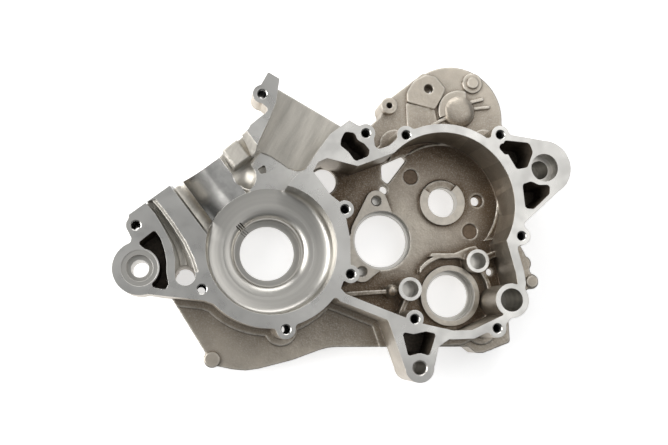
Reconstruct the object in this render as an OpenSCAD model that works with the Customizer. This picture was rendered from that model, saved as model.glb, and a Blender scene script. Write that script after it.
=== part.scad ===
// Right half of a single cylinder two-stroke engine crankcase, one bare aluminium casting.
// The crankshaft axis is the Z axis and the origin is the centre of the main bearing seat.
// The joint face looks up, and the half stands on its clutch cover face. Sizes are in
// millimetres, and depths are counted down from the joint face.

/* [Depths] */
// Joint face to the clutch cover face
case_depth = 64; // [60:1:80]
// Joint face to the gearbox floor
floor_depth = 42; // [40:0.5:46]
// Thickness of the gearbox floor
floor_wall = 5; // [4:0.5:7]
// Depth of the tab in front of the intake
tab_depth = 24; // [18:1:30]
// Depth of the cored pockets in the joint face
pocket_depth = 34; // [20:1:40]

/* [Walls] */
// Width of the joint face around the gearbox
joint_wall = 6.5; // [5:0.5:9]
// Width of the joint face around the crank chamber
chamber_wall = 10; // [8:0.5:12]
// Thickness of the clutch cover rim
rim_wall = 7; // [5:0.5:10]
// Fillet in the inner corners of the joint face outline
root_fillet = 3; // [1:0.5:4]

/* [Crank chamber] */
// Radius of the crank chamber
chamber_r = 48.5; // [46:0.5:50]
// Depth of the crank chamber
chamber_depth = 29; // [26:0.5:31]
// Thickness of the crank chamber floor
chamber_floor = 6; // [5:0.5:8]
// Radius where the chamber floor rolls into the main bearing seat
hub_entry_r = 34.5; // [32:0.5:37]
// Depth of that rolled entry
hub_entry_drop = 5; // [3:0.5:7]
// Radius of the main bearing seat
main_seat_r = 26; // [24:0.5:28]
// Radius of the crankshaft hole beyond the seat
crank_hole_r = 21.2; // [18:0.1:22]
// Thickness of the lip that stops the main bearing
seat_lip = 3; // [2:0.5:4]
// Width of each of the three oil slots beside the main bearing
oil_slot = 1; // [0.8:0.1:1.4]

/* [Gearbox shafts] */
// Radius of the input shaft bearing seat
input_seat_r = 23.5; // [22:0.5:25]
// Radius of the input shaft hole
input_hole_r = 20.9; // [18:0.1:21]
// Radius of the output shaft bearing seat
output_seat_r = 20; // [19:0.5:21.5]
// Radius of the output shaft hole
output_hole_r = 16.9; // [14:0.1:18]
// Outer radius of the output shaft boss
output_boss_r = 24; // [23:0.5:26]
// Radius of the shift drum bore
drum_bore_r = 12; // [10:0.5:14]
// Outer radius of the shift drum boss
drum_boss_r = 18.5; // [17:0.5:20]
// Height of the shaft bosses above the gearbox floor
boss_rise = 5; // [3:0.5:8]
// Radius of the blind holes for the shift fork rails
rail_hole_r = 6.5; // [5:0.5:7]
// Outer radius of the shift fork rail bosses
rail_boss_r = 9.2; // [8.5:0.1:11]
// Height of the rail bosses above the gearbox floor
rail_boss_rise = 16; // [10:1:22]

/* [Cylinder base] */
// Crankshaft axis to the cylinder base face
base_distance = 81.5; // [80:0.5:84]
// Direction of the cylinder axis, from the X axis
base_angle = 127.5; // [126:0.5:129]
// Offset of the cylinder axis from the crankshaft axis
cylinder_offset = 3; // [0:0.5:4]
// Radius of the cylinder spigot bore
spigot_r = 35; // [33:0.5:36]
// Radius of the front transfer duct
front_duct_r = 8; // [7:0.5:9]
// Radius of the rear transfer duct
rear_duct_r = 15; // [13:0.5:16]
// Radius of the tapped holes for the cylinder studs
stud_hole_r = 3.4; // [2.5:0.1:4]

/* [Intake] */
// Crankshaft axis to the intake face
intake_distance = 114; // [112:0.5:116]
// Direction of the intake, from the X axis
intake_angle = 60.5; // [58:0.5:63]
// Depth of the intake tract
tract_depth = 28; // [26:0.5:30]

/* [Fasteners and mounts] */
// Radius of the case bolt holes
bolt_hole_r = 3.3; // [2.6:0.1:3.6]
// Radius of the bosses around the case bolts
bolt_boss_r = 7.1; // [6.4:0.1:8]
// Radius of the front mount hole
front_hole_r = 6.4; // [5:0.1:7]
// Radius of the counterbore over the front mount hole
front_counterbore_r = 9.6; // [8:0.1:11]
// Radius of the spotface around that counterbore
front_spotface_r = 13.2; // [12:0.1:15]
// Radius of the front mount lug
front_lug_r = 19.5; // [17:0.5:21]
// Depth of the mount lugs below the joint face
lug_depth = 40; // [36:1:46]
// Radius of the swingarm pivot bore
pivot_bore_r = 10.8; // [9:0.1:12]
// Radius of the inner step of the pivot bore
pivot_step_r = 7.3; // [6:0.1:8]
// Radius of the pivot lug
pivot_lug_r = 21.3; // [20:0.1:24]
// Radius of the blind bore in the lower rear boss
rear_bore_r = 8.8; // [7:0.1:10]
// Outer radius of the lower rear boss
rear_boss_r = 12.6; // [12:0.1:15]
// Radius of the bottom mount hole
bottom_hole_r = 4.9; // [4:0.1:6]
// Radius of the end of the bottom mount
bottom_lug_r = 11; // [10:0.5:13]
// Radius of the tapped holes for the clutch cover
cover_hole_r = 2.5; // [2:0.1:3]
// Radius of the bosses around the cover screws
cover_boss_r = 6.2; // [5.5:0.1:7]

/* [Coolant channel] */
// Depth of the coolant channel
channel_depth = 9; // [7:1:14]
// Radius of the coolant hole at the end of the channel
coolant_hole_r = 7.3; // [6:0.1:8]

/* [Places] */
// Crankshaft axis to the input shaft axis, along X
input_x = 90.8; // [89.5:0.1:92]
// Crankshaft axis to the output shaft axis, along X
output_x = 145.2; // [144:0.1:147]
// Crankshaft axis to the pivot bore, along X
pivot_x = 212; // [208:0.5:218]
// Crankshaft axis to the pivot bore, along Y
pivot_y = 66; // [62:0.5:70]
// Crankshaft axis to the front mount, against X
front_x = 95.2; // [93:0.1:100]
// Crankshaft axis to the bottom mount, against Y
bottom_y = 87.5; // [86:0.5:94]

/* [Hidden] */
$fn = 48;
back_depth = floor_depth + floor_wall;
seat_bottom = back_depth - 1;
boss_back = seat_bottom + seat_lip;
seat_top = chamber_depth + hub_entry_drop;
seat_mid = (seat_top + seat_bottom) / 2;
foot_depth = floor_depth - 3;
foot_width = 5.5;
band_rise = 1.8;
band_r = 46.6;
pad_depth = floor_depth - 4;
eps = 0.5;

input_axis = [input_x, 11.2];
output_axis = [output_x, -32.3];
drum_axis = [140.2, 42.5];
rail_axes = [[110.2, -27.8], [165.1, -5.3]];
front_mount = [-front_x, -15.3];
pivot_mount = [pivot_x, pivot_y];
rear_bore = [183, -36.8];
bottom_mount = [110.7, -bottom_y];
coolant_hole = [-62.7, -20.3];
gear_wall_axis = [132.3, 36.4];
gear_wall_r = 55;
housing_axis = [150.5, 113.5];
housing_r = 42;
retainer_holes = [[86.1, 42.5], [74.3, -13.7]];
bolt_places = [
    [-98.5, 15.5], [-50.6, -30.1], [10.7, -59.1], [54.5, 30.2], [58.7, -18.3], [107.2, -51.3],
    [171.1, -58.2], [192, 12.3], [176.7, 91], [101.9, 88.3], [70.6, 88.7], [-8.3, 116]
];
cover_places = [
    [-41.5, -82], [18, -75.5], [75, -65], [130, -65], [178, -69.5], [214.8, -20.2], [209, -5.6], [195, 50],
    [185.5, 112], [167.5, 142.2], [129, 140], [96.8, 119.9], [50, 78], [0, 63], [-43, 47], [-66, 8], [-55, -51]
];

// A solid of the plan between two depths below the joint face
module slab(from_depth, to_depth) {
    translate([0, 0, -to_depth])
        linear_extrude(height = to_depth - from_depth) children();
}

// A round solid or hole between two depths
module round_at(place, r, from_depth, to_depth) {
    translate([place[0], place[1], -to_depth]) cylinder(r = r, h = to_depth - from_depth);
}

// Rounds the outer corners of a plan and fillets its inner ones
module softened(outer_r, inner_r) {
    offset(r = -inner_r) offset(delta = inner_r)
        offset(r = outer_r) offset(delta = -outer_r) children();
}

// Points of the arc of radius r that rounds the corner b between the points a and c
function arc_points(a, b, c, r) =
    let(u = (a - b) / norm(a - b), v = (c - b) / norm(c - b), half = acos(u * v) / 2)
    let(reach = min(r / tan(half), norm(a - b) * 0.49, norm(c - b) * 0.49), true_r = reach * tan(half))
    let(mid = b + (u + v) / norm(u + v) * true_r / sin(half))
    let(start = b + u * reach - mid, stop = b + v * reach - mid)
    let(from = atan2(start[1], start[0]), turn = atan2(stop[1], stop[0]) - from)
    let(swing = turn > 180 ? turn - 360 : turn < -180 ? turn + 360 : turn)
    let(steps = max(2, ceil(abs(swing) / 15)))
    [for (k = [0:steps]) mid + true_r * [cos(from + swing * k / steps), sin(from + swing * k / steps)]];

// Outline with straight runs, in which each corner has its own radius as a third value
function rounded(corners) =
    let(n = len(corners), flat = [for (q = corners) [q[0], q[1]]])
    [for (i = [0:n - 1]) each corner_points(flat[(i + n - 1) % n], flat[i], flat[(i + 1) % n], corners[i][2])];

// A corner with its radius, or the bare point where the radius is nil
function corner_points(a, b, c, r) = r > 0 ? arc_points(a, b, c, r) : [b];

// Point on a face square to a direction, at a place across that direction
function on_face(direction, distance, across) =
    [distance * cos(direction) + across * sin(direction), distance * sin(direction) - across * cos(direction)];

// Turns the Y axis to a direction in the joint plane
module facing(direction) {
    rotate([0, 0, direction - 90]) children();
}

// Inner outline of the gearbox: a round wall at the top and rear, straight runs below it
module gearbox_plan() {
    difference() {
        union() {
            translate(gear_wall_axis) circle(r = gear_wall_r, $fn = 96);
            polygon([
                [30.4, 58.5], [34.2, 65.5], [40.9, 68.6], [64.3, 63.2], [102.8, 78.2], [150, 60],
                [180, 17], [179.6, 10], [186.8, -16], [188, -24], [184, -40], [175.5, -48.5],
                [151.5, -59.5], [137, -60], [113, -54.8], [97.2, -49.3], [54.8, -33], [51.3, -29],
                [53, -24], [58.8, -20], [58.3, 8.4], [55.5, 22], [54, 33], [43.8, 40.6]
            ]);
        }
        for (i = [3, 4, 5]) translate(bolt_places[i]) circle(r = bolt_boss_r - 0.4);
        translate(rear_bore) circle(r = rear_boss_r);
    }
}

// Raised band of the gearbox floor along its round wall
module floor_band() {
    difference() {
        intersection() {
            offset(delta = 1) gearbox_plan();
            polygon([[94, 68], [104, 95], [180, 95], [195, 60], [190, 15], [174, 12], [150, 50], [110, 60]]);
        }
        translate(drum_axis + [0, 0.8]) circle(r = band_r, $fn = 96);
    }
}

// Outline of the joint face, with its mounts
module joint_plan() {
    softened(1, root_fillet) {
        offset(delta = joint_wall) gearbox_plan();
        circle(r = chamber_r + chamber_wall, $fn = 96);
        polygon([
            on_face(base_angle, base_distance, -68.5), [-103.4, 10], [-101.5, 6],
            front_mount + [-8.8, 0.3], front_mount + [-2.8, -17.7],
            [-48.7, -38.4], [-41.5, -41], [-20, -45], [20, 20], [64, 40], [98, 84], [82, 76.1],
            [77.5, 78.5], [76, 90], on_face(intake_angle, intake_distance, 11),
            on_face(intake_angle, intake_distance, -69), [-10, 121.8], [-11, 111], [-3, 104.5],
            [-5.4, 101.6], [-9.8, 98.4], [-16.9, 92.1], on_face(base_angle, base_distance, 39)
        ]);
        translate(front_mount) circle(r = front_lug_r);
        translate(pivot_mount) circle(r = pivot_lug_r);
        polygon([[185.5, 91], pivot_mount + [-1, 21.5], pivot_mount + [18, -12], [193.6, 21.5], [180, 40]]);
        translate(rear_bore) circle(r = rear_boss_r + 1);
        for (place = bolt_places) translate(place) circle(r = bolt_boss_r);
        polygon([
            [86, -50], bottom_mount + [-11.2, -0.5], bottom_mount + [11.3, 1.5], bottom_mount + [14.5, 15.5],
            [140, -62]
        ]);
        translate(bottom_mount) circle(r = bottom_lug_r);
    }
}

// Part of the joint face that belongs to the mount lugs, which are less deep
module lug_plan() {
    translate(front_mount)
        polygon([[-35, 19.3], [-12, 19.3], [7, 12.3], [17, 5.3], [17, -16.7], [-5, -29.7], [-35, -29.7]]);
    translate(pivot_mount) translate([-14, -46]) square([47, 76]);
    translate(bottom_mount) polygon([[-31, 27], [24, 9.5], [24, -22.5], [-31, -22.5]]);
}

// Part of the joint face at the tab in front of the intake, which is less deep still
module tab_plan() {
    polygon([[-40, 145], [-4, 145], [-3, 126], [-1.5, 112], [-7.5, 99], [-10, 98], [-40, 104]]);
}

// Outline of the clutch side, which the clutch cover closes
module cover_plan() {
    softened(2, 5) {
        translate(housing_axis) circle(r = housing_r, $fn = 96);
        polygon(rounded([
            [-74, -33.5, 4], [-46.5, -77, 6], [-42, -86, 6], [-16, -91.5, 45], [20, -82.5, 30],
            [47.5, -72.6, 40], [160.5, -72.6, 4], [167, -77.6, 4], [173, -77.6, 4], [195.5, -69.2, 3],
            [194.5, -48, 5], [205, -33, 8], [212, -26, 4], [210, 2, 6], [204, 12, 8], [202, 60, 20],
            [194, 108, 10], [127, 150, 4], [97, 126, 6], [91, 112, 6], [70, 93, 8], [44, 86, 20], [0, 71, 30],
            [-49, 56, 14], [-75, 10, 30]
        ]));
        for (i = [0, 5, 6]) translate(cover_places[i]) circle(r = cover_boss_r - 0.6);
        translate(cover_places[11]) circle(r = cover_boss_r + 0.3);
    }
}

// Cored pockets that open on the joint face
module pocket_plans() {
    softened(2.2, 1.5)
        difference() {
            polygon([
                [-85, 12.5], [-80.5, 6], [-77.2, -4], [-76, -12], [-76, -18], [-74.3, -27],
                [-76.5, -31], [-88.5, -28.5], [-88.5, -24], [-86, -20], [-90, -3], [-97, 2.5]
            ]);
            translate(front_mount) circle(r = front_spotface_r + 1);
        }
    polygon(rounded([
        [54.5, 89.5, 3], [61.8, 88.5, 3], [64.5, 83, 4], [69.5, 80.5, 4], [73.4, 76, 3],
        [72.8, 71, 4], [62.5, 66.6, 3], [57, 74, 6], [51, 78.6, 2], [51.4, 83, 3]
    ]));
    polygon(rounded([
        [178.5, 82.5, 2.5], [180, 86.7, 2.5], [200, 85.2, 4], [202.8, 78, 4], [198, 65.8, 3], [189.5, 64, 3]
    ]));
    polygon(rounded([
        [193.6, 52.5, 2.5], [200.6, 55, 4], [207, 52.3, 3], [216, 52.6, 2.5], [215.4, 45.5, 3],
        [202.5, 33.4, 3], [195.5, 33.6, 3]
    ]));
    polygon(rounded([
        [97.4, -60.8, 2], [106, -62.6, 3], [115.5, -60.6, 3], [123.4, -62.3, 2], [118, -78.6, 2],
        [111, -76.6, 4], [101.8, -78.8, 2]
    ]));
}

// Intake tract and the open side of the crank chamber
module tract_plan() {
    softened(2, 4)
        polygon([
            [9, 138], [4.8, 128.4], [2.1, 110], [-3, 96.5], [-10.8, 79], [-12, 72],
            [-24, 56], [-30, 30], [0, 20], [8.6, 43.7], [17.9, 55.3], [25.3, 60.1],
            [32.2, 71.4], [43.1, 87], [58, 98.4], [66, 104]
        ]);
}

// Part of the tract floor that is milled a little lower, next to the crank chamber
module milled_plan() {
    intersection() {
        tract_plan();
        polygon([
            [-6.9, 76.7], [0.6, 74.1], [6.7, 70.2], [14.9, 64.9], [21.8, 63], [27.2, 64.6], [34, 71.5],
            [34, 30], [-30, 30], [-20, 60]
        ]);
    }
}

// Coolant channel from the cylinder base to its hole
module channel_plan() {
    polygon([
        [-92.5, 32.5], [-85.1, 24.1], [-78.4, 13], [-72.7, 1.9], [-70, -8.8], [-70.1, -18.9],
        [-55.6, -19], [-58.9, -8.7], [-64.6, 3], [-73, 15.7], [-81.2, 26.8], [-87.5, 34]
    ]);
}

// Solid part of the half case, before it is bored
module case_body() {
    difference() {
        union() {
            difference() {
                slab(0, back_depth) joint_plan();
                slab(lug_depth, back_depth + eps) lug_plan();
                slab(tab_depth, back_depth + eps) tab_plan();
                slab(-eps, floor_depth) gearbox_plan();
                chamber();
            }
            difference() {
                slab(floor_depth, back_depth) cover_plan();
                round_at([0, 0], chamber_r + 2, floor_depth - eps, back_depth + eps);
            }
            slab(back_depth - eps, case_depth)
                difference() {
                    cover_plan();
                    offset(delta = -rim_wall) cover_plan();
                }
            slab(foot_depth, back_depth)
                difference() {
                    intersection() {
                        cover_plan();
                        offset(r = foot_width) joint_plan();
                    }
                    offset(delta = -joint_wall / 2) joint_plan();
                }
            slab(floor_depth - band_rise, back_depth - 1) floor_band();
            cover_bosses();
            crank_hub();
            gearbox_bosses();
            upper_housing();
        }
        pockets();
        chamber_back();
        tract_back();
    }
}

// Crank chamber, with the sides that open to the cylinder and the intake
module chamber() {
    milling = 0.8;
    round_at([0, 0], chamber_r, -eps, chamber_depth);
    difference() {
        union() {
            slab(-eps, tract_depth) tract_plan();
            slab(tract_depth - eps, tract_depth + milling) milled_plan();
        }
        round_at([0, 0], chamber_r - 0.4, -2 * eps, back_depth);
    }
    spigot_bore();
}

// Bore for the cylinder spigot with the transfer ducts beside it
module spigot_bore() {
    flat_from = 14;
    reach = base_distance + 3;
    difference() {
        facing(base_angle) {
            intersection() {
                translate([cylinder_offset, reach, 0]) rotate([90, 0, 0]) cylinder(r = spigot_r, h = reach, $fn = 96);
                translate([-60, 0, -back_depth]) cube([60 + flat_from, reach, back_depth + eps]);
            }
            translate([0, reach, 0]) rotate([90, 0, 0]) linear_extrude(height = reach) rear_section(flat_from);
            translate([cylinder_offset - spigot_r + front_duct_r - 1.6, reach, -20]) rotate([90, 0, 0])
                cylinder(r = front_duct_r, h = reach - chamber_r + 14);
            rear_duct();
        }
        round_at([0, 0], chamber_r - 0.2, chamber_depth, back_depth + eps);
        facing(base_angle) translate([-60, -60, -back_depth]) cube([120, 60, back_depth + 1]);
    }
    slab(tract_depth - 2, tract_depth + 5)
        polygon(rounded([[-9, 64, 1], [-3.5, 68, 1.5], [-2, 61.5, 1.5], [-7, 60, 1]]));
}

// Section of the mouth beside the rear transfer duct: a sloping flat, then the floor of the duct
module rear_section(flat_from) {
    from = flat_from - 0.01;
    edge = cylinder_offset + spigot_r;
    polygon([
        [from, eps], [edge + 0.5, eps], [edge, 0], [edge - 7.5, -7], [edge - 16, -21.5],
        [from, -sqrt(pow(spigot_r, 2) - pow(from - cylinder_offset, 2)) + 0.3]
    ]);
}

// Scoop of the rear transfer duct, which turns down into the case
module rear_duct() {
    bend = [cylinder_offset + 14.5, chamber_r + 10.5, -rear_duct_r - 4.5];
    rise = 17;
    translate(bend) rotate([rise - 90, 0, -8]) cylinder(r = rear_duct_r, h = 60);
    translate(bend) sphere(r = rear_duct_r + 0.2, $fn = 64);
}

// Hollow under the intake tract, open to the clutch side
module tract_back() {
    slab(tract_depth + 7, back_depth + eps)
        polygon(rounded([[13, 116, 4], [49, 96.5, 4], [41, 86, 4], [9, 79, 4], [3.5, 92, 4], [8, 108, 8]]));
}

// End of the main bearing hub, which stands out on the clutch side
module crank_hub() {
    round_at([0, 0], main_seat_r + 6, back_depth - 2, boss_back);
}

// Hollow on the clutch side under the crank chamber floor, with a hub and six ribs left in it
module chamber_back() {
    rib = 5;
    difference() {
        round_at([0, 0], chamber_r - 4, chamber_depth + chamber_floor, back_depth + eps);
        round_at([0, 0], main_seat_r + 7, chamber_depth, boss_back + 2 * eps);
        for (i = [0:5]) rotate([0, 0, 60 * i + 15])
            translate([main_seat_r, -rib / 2, -back_depth - 2 * eps]) cube([chamber_r, rib, back_depth]);
    }
}

// Bosses, pads and ribs that stand on the gearbox floor
module gearbox_bosses() {
    round_at(output_axis, output_boss_r, floor_depth - boss_rise, boss_back);
    round_at(input_axis, input_seat_r + 5, floor_depth + 1, boss_back);
    difference() {
        round_at(drum_axis, drum_boss_r, floor_depth - boss_rise + 1, boss_back);
        slab(0, floor_depth - 1.5) translate(drum_axis)
            polygon([[0, 0], [-30, 21], [-10, 40], [10, 40], [25, 30]]);
    }
    slab(pad_depth, back_depth - 1) retainer_pads();
    for (place = rail_axes) round_at(place, rail_boss_r, floor_depth - rail_boss_rise, back_depth - 1);
    gearbox_ribs();
}

// Milled pads for the screws that hold the input shaft bearing
module retainer_pads() {
    difference() {
        union() {
            hull() {
                translate(retainer_holes[0]) circle(r = 8.4);
                translate(input_axis + [-6, 4]) circle(r = input_seat_r - 4);
            }
            hull() {
                translate(retainer_holes[1]) circle(r = 8.4);
                translate(input_axis + [-8, -4]) circle(r = input_seat_r - 4);
            }
        }
        translate([60, -40]) rotate([0, 0, 6]) translate([-30, 0]) square([22, 100]);
    }
}

// Cast ribs that brace the rail bosses and guard the output gears
module gearbox_ribs() {
    rib_top = floor_depth - 13;
    slab(rib_top, back_depth - 1) {
        polygon([[50, -34.5], [51, -31], [95, -28], [104, -25.5], [104, -30.5], [95, -31]]);
        polygon([[100, -50], [104.5, -49], [111, -34], [107, -34]]);
    }
    translate([96.5, -29.3, -rib_top - 1]) sphere(r = 5);
    round_at([96.5, -29.3], 5.2, rib_top + 1, back_depth - 1);
    slab(floor_depth - 8, back_depth - 1) {
        difference() {
            translate(output_axis) circle(r = 33.5);
            translate(output_axis) circle(r = 30.5);
            translate([70, -120]) square([140, 90]);
            translate([60, -60]) square([60, 80]);
        }
        polygon([[128, -1.5], [130, 1], [148, 1], [160, 6], [166, 7.5], [168, 4.5], [152, -2.5], [140, -3]]);
        polygon([[168, -2], [172, -6], [192, 3], [192, 8]]);
    }
}

// Features on the outside of the clutch housing, above the gearbox
module upper_housing() {
    face = floor_depth - 3;
    dome = [155.3, 117.9, -back_depth + 1];
    slab(face, back_depth - 1)
        polygon(rounded([
            [112.5, 124.3, 2], [112, 132, 6], [117.5, 141.5, 5], [127.5, 147.5, 5], [136.5, 146.2, 5],
            [144.5, 136.5, 3], [141, 129, 3], [135, 119, 2]
        ]));
    slab(face + 1.5, back_depth - 1)
        polygon(rounded([[113, 90, 1], [111.5, 124, 1.5], [135.5, 119, 2], [140, 92, 1]]));
    round_at(cover_places[11], 6.6, floor_depth - 6, case_depth);
    translate(dome) rotate_extrude()
        polygon([[0, 0], [13.5, 0], [13.5, 5.5], [12.6, 7.6], [10.5, 9], [6, 10], [0, 10.4]]);
    slab(face - 1, back_depth - 1)
        difference() {
            translate([dome[0], dome[1]]) circle(r = 17.2);
            translate([dome[0], dome[1]]) circle(r = 12);
            translate([dome[0], dome[1]]) rotate([0, 0, 20]) translate([-25, -50]) square([50, 50]);
            translate([dome[0] + 6, dome[1] - 10]) square([40, 40]);
        }
    slab(face, back_depth - 1) polygon([[132, 106.5], [133, 104.5], [147, 112], [145.5, 114.5]]);
    round_at(cover_places[9], 8.3, floor_depth - 2, case_depth);
    round_at(cover_places[9], 4.8, floor_depth - 4, back_depth);
    slab(floor_depth - 2.5, back_depth - 1) {
        polygon([[164, 127], [176, 130.5], [177, 128], [165, 124.5]]);
        polygon([[164, 121.5], [182, 124], [182, 121.5], [164, 119]]);
    }
}

// Bosses for the clutch cover screws
module cover_bosses() {
    for (place = cover_places) round_at(place, cover_boss_r, floor_depth + 1, case_depth);
    round_at(cover_places[0], cover_boss_r - 0.2, floor_depth - 2, floor_depth + 2);
    round_at(cover_places[5], cover_boss_r - 1.2, floor_depth - 2, floor_depth + 2);
}

// Pockets, channel and marks that were cored in the casting
module pockets() {
    slab(-eps, pocket_depth) pocket_plans();
    slab(-eps, channel_depth) channel_plan();
    slab(-eps, 1) translate([2.4, 1]) channel_plan();
    round_at([44.1, 57.6], 10.3, floor_depth - 3, back_depth + eps);
    slab(floor_depth - 3, back_depth + eps)
        softened(2, 1) polygon([[108.5, 80], [91.5, 72.3], [90.8, 69], [91.3, 60.6], [96, 56.5], [111.5, 77]]);
    round_at([115.1, 63.2], 6.1, floor_depth - 2, floor_depth + 1.2);
    round_at([163.7, 19.7], 6.2, floor_depth - 2, floor_depth + 1.2);
    round_at([170, 44.8], 5.2, floor_depth - 2, floor_depth + 2);
    round_at([168.8, 44.6], 3.6, floor_depth, back_depth + eps);
    round_at([92.7, 51.9], 3.3, floor_depth - 8, back_depth + eps);
    round_at([179.5, -12.9], 2.9, floor_depth - 6, back_depth + eps);
    round_at([175.3, -50.5], 1.7, floor_depth - 2, back_depth + eps);
    round_at([130.1, 135.8], 3.8, floor_depth - 6, back_depth + eps);
    round_at(cover_places[11], 2.5, floor_depth - 8, floor_depth + 6);
}

// Turned entry, seat and hole for the main bearing, with its oil slots
module crank_bores() {
    swing = hub_entry_r - main_seat_r;
    rotate_extrude($fn = 96)
        polygon(concat(
            [[0, -chamber_depth + 1], [hub_entry_r + 0.6, -chamber_depth + 1]],
            [for (i = [0:6]) let(a = 15 * i)
                [hub_entry_r - swing * sin(a), -chamber_depth - hub_entry_drop * (1 - cos(a))]],
            [[0, -seat_top]]
        ));
    round_at([0, 0], main_seat_r, seat_top - eps, seat_bottom);
    round_at([0, 0], crank_hole_r, seat_bottom - eps, boss_back + eps);
    for (step = [-1:1]) rotate([0, 0, 139]) translate([0, (step * 1.9 - 0.5) * oil_slot, 0]) {
        translate([crank_hole_r - 2, 0, -seat_bottom - 1.2])
            cube([main_seat_r - crank_hole_r + 3.5, oil_slot, seat_bottom - seat_top + 4]);
        translate([main_seat_r - 1, 0, -seat_top - 1]) cube([6.5, oil_slot, hub_entry_drop + 2]);
    }
}

// Bearing seats and holes for the gearbox shafts
module shaft_bores() {
    round_at(input_axis, input_seat_r, pad_depth - eps, seat_bottom);
    round_at(input_axis, input_hole_r, seat_bottom - eps, boss_back + eps);
    round_at(output_axis, output_seat_r, floor_depth - boss_rise - eps, seat_bottom);
    round_at(output_axis, output_hole_r, seat_bottom - eps, boss_back + eps);
    round_at(drum_axis, drum_bore_r, floor_depth - boss_rise - eps, boss_back + eps);
    for (place = rail_axes)
        round_at(place, rail_hole_r, floor_depth - rail_boss_rise - eps, floor_depth - 2);
    for (place = retainer_holes) {
        round_at(place, 3.4, pad_depth - eps, back_depth - 1.5);
        translate([place[0], place[1], -pad_depth - 1]) cylinder(r1 = 3.4, r2 = 4.9, h = 1.5);
    }
}

// Holes for the bolts that join the two halves, and for the mounts
module bolt_holes() {
    for (place = bolt_places) {
        round_at(place, bolt_hole_r, -eps, case_depth + eps);
        translate([place[0], place[1], -0.7]) cylinder(r1 = bolt_hole_r, r2 = bolt_hole_r + 1, h = 1);
    }
}

// Mount bores
module mount_bores() {
    round_at(front_mount, front_hole_r, -eps, back_depth + eps);
    round_at(front_mount, front_counterbore_r, -eps, 7);
    round_at(front_mount, front_spotface_r, -eps, 0.8);
    round_at(pivot_mount, pivot_bore_r, -eps, 12);
    round_at(pivot_mount, pivot_step_r, 10, lug_depth - 6);
    round_at(rear_bore, rear_bore_r, -eps, floor_depth - 4);
    round_at(bottom_mount, bottom_hole_r, -eps, lug_depth - 8);
    translate([bottom_mount[0], bottom_mount[1], -0.8]) cylinder(r1 = bottom_hole_r, r2 = bottom_hole_r + 1.3, h = 1.1);
    round_at(coolant_hole, coolant_hole_r, -eps, case_depth + eps);
}

// Blind tapped holes in the cover face, the cylinder base and the intake face
module tapped_holes() {
    for (place = cover_places) round_at(place, cover_hole_r, case_depth - 14, case_depth + eps);
    facing(base_angle)
        for (side = [-1, 1]) translate([side * 31, base_distance + 1, -38]) rotate([90, 0, 0])
            cylinder(r = stud_hole_r, h = 22);
}

// The whole casting
module crankcase_half() {
    color([0.71, 0.70, 0.68])
        translate([0, 0, seat_mid]) difference() {
            case_body();
            crank_bores();
            shaft_bores();
            bolt_holes();
            mount_bores();
            tapped_holes();
        }
}

crankcase_half();
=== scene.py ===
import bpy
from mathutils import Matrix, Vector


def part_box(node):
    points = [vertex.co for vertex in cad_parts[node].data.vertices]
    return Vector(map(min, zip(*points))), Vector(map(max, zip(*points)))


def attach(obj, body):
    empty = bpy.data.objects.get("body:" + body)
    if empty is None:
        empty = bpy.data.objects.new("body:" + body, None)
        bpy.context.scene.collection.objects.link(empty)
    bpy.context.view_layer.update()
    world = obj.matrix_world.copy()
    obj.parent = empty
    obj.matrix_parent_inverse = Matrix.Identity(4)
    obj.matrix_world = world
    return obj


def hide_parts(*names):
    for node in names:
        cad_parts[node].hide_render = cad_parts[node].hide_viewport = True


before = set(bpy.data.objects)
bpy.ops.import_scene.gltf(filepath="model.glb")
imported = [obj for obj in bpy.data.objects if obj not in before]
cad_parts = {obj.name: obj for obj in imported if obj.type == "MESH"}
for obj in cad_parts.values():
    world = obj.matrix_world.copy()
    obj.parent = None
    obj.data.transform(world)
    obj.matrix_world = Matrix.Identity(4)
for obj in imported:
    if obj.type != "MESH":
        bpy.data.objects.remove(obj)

import math

import bmesh
import bpy
from mathutils import Matrix, Vector

bl_info = {
    "name": "Crankcase half finish",
    "version": (1, 0, 0),
    "blender": (4, 5, 0),
    "location": "View3D > Sidebar > Crankcase",
    "description": "Gives a bare aluminium crankcase half its machined and cast surfaces "
                   "and a soft studio stage",
    "category": "Object",
}


def heading(turn):
    """Level unit vector at an angle in degrees from X towards Y"""
    return Vector((math.cos(math.radians(turn)), math.sin(math.radians(turn)), 0))


# The casting, in millimetres. The origin is the centre of the main bearing seat, Z points out of
# the joint face, and depths are counted down from the joint face.
NODE = "crankcase_half"
TO_MM = 1000
JOINT_Z = 40.0
CASE_DEPTH = 64.0
CHAMBER_R = 48.5
CHAMBER_DEPTH = 29.0
SEAT_R = 26.0
SPIGOT_R = 35.0
CYLINDER_OUT = heading(127.5)
CYLINDER_SIDE = Vector((CYLINDER_OUT.y, -CYLINDER_OUT.x, 0))
CYLINDER_BASE = 81.5
CYLINDER_OFFSET = 3.0
INTAKE_OUT = heading(60.5)
INTAKE_DISTANCE = 114.0
TRACT_DEPTH = 28.0
GEARBOX_DEPTH = 46.0
CRANK_AXIS = (0.0, 0.0)
INPUT_AXIS = (90.8, 11.2)
OUTPUT_AXIS = (145.2, -32.3)
DRUM_AXIS = (140.2, 42.5)
RAIL_AXES = ((110.2, -27.8), (165.1, -5.3))
RETAINER_HOLES = ((86.1, 42.5), (74.3, -13.7))
FRONT_MOUNT = (-95.2, -15.3)
PIVOT_MOUNT = (212.0, 66.0)
REAR_BORE = (183.0, -36.8)
BOTTOM_MOUNT = (110.7, -87.5)
BOLT_PLACES = (
    (-98.5, 15.5), (-50.6, -30.1), (10.7, -59.1), (54.5, 30.2), (58.7, -18.3), (107.2, -51.3),
    (171.1, -58.2), (192.0, 12.3), (176.7, 91.0), (101.9, 88.3), (70.6, 88.7), (-8.3, 116.0),
)

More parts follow.
